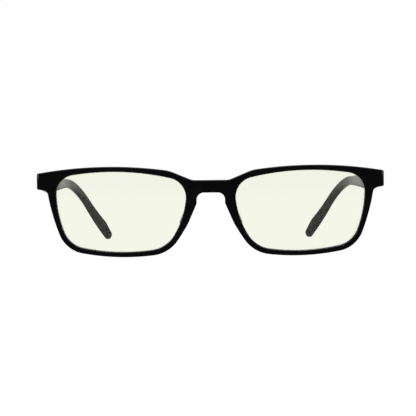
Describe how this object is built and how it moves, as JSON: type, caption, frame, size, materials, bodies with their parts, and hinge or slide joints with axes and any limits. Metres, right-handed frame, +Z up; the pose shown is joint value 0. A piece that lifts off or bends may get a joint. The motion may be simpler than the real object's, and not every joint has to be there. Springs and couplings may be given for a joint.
{
  "type": "blue light glasses",
  "caption": "Full-rim rectangular glasses with a moulded bridge and nose pads, pale tinted lenses and temples that fold on sprung hinges.",
  "frame": {"origin": "middle of the footprint on the table, at the height of the rims' lowest edge and the temple tips", "axes": "+Z up, +X to the wearer's left, +Y from the front back towards the ears"},
  "size_m": [0.1368, 0.1512, 0.0353],
  "materials": {
    "frame": "polished black injection-moulded plastic",
    "temples": "polished black injection-moulded plastic",
    "lens": "clear polymer with a pale yellow-green blue-light filter and a hard coat",
    "hinge_metal": "stamped and tumbled nickel silver",
    "screw_steel": "bright turned steel",
    "spring_steel": "drawn spring wire"
  },
  "bodies": {
    "front": {"front_frame": "frame", "lens_left": "lens", "lens_right": "lens", "front_hinge_leaf_left": "hinge_metal", "front_hinge_leaf_right": "hinge_metal", "hinge_screw_left": "screw_steel", "hinge_screw_right": "screw_steel"},
    "sled_left": {"hinge_sled_left": "hinge_metal", "rod_washer_left": "hinge_metal"},
    "temple_left": {"temple_left": "temples", "hinge_case_left": "hinge_metal", "spring_stop_left": "hinge_metal", "hinge_spring_left": "spring_steel"},
    "sled_right": {"hinge_sled_right": "hinge_metal", "rod_washer_right": "hinge_metal"},
    "temple_right": {"temple_right": "temples", "hinge_case_right": "hinge_metal", "spring_stop_right": "hinge_metal", "hinge_spring_right": "spring_steel"}
  },
  "joints": [
    {"name": "fold_left", "type": "hinge", "parent": "front", "child": "sled_left", "pos_m": [0.0624, -0.05983, 0.02975], "axis": [0, 0, 1], "range_deg": [0, 86]},
    {"name": "spring_travel_left", "type": "slide", "parent": "sled_left", "child": "temple_left", "axis": [0, 1, 0], "range_m": [0, 0.0012], "stiffness_N_per_m": 350, "springref_m": -0.004, "deforming": ["hinge_spring_left"]},
    {"name": "fold_right", "type": "hinge", "parent": "front", "child": "sled_right", "pos_m": [-0.0624, -0.05983, 0.02975], "axis": [0, 0, 1], "range_deg": [-76, 0]},
    {"name": "spring_travel_right", "type": "slide", "parent": "sled_right", "child": "temple_right", "axis": [0, 1, 0], "range_m": [0, 0.0012], "stiffness_N_per_m": 350, "springref_m": -0.004, "deforming": ["hinge_spring_right"]}
  ]
}
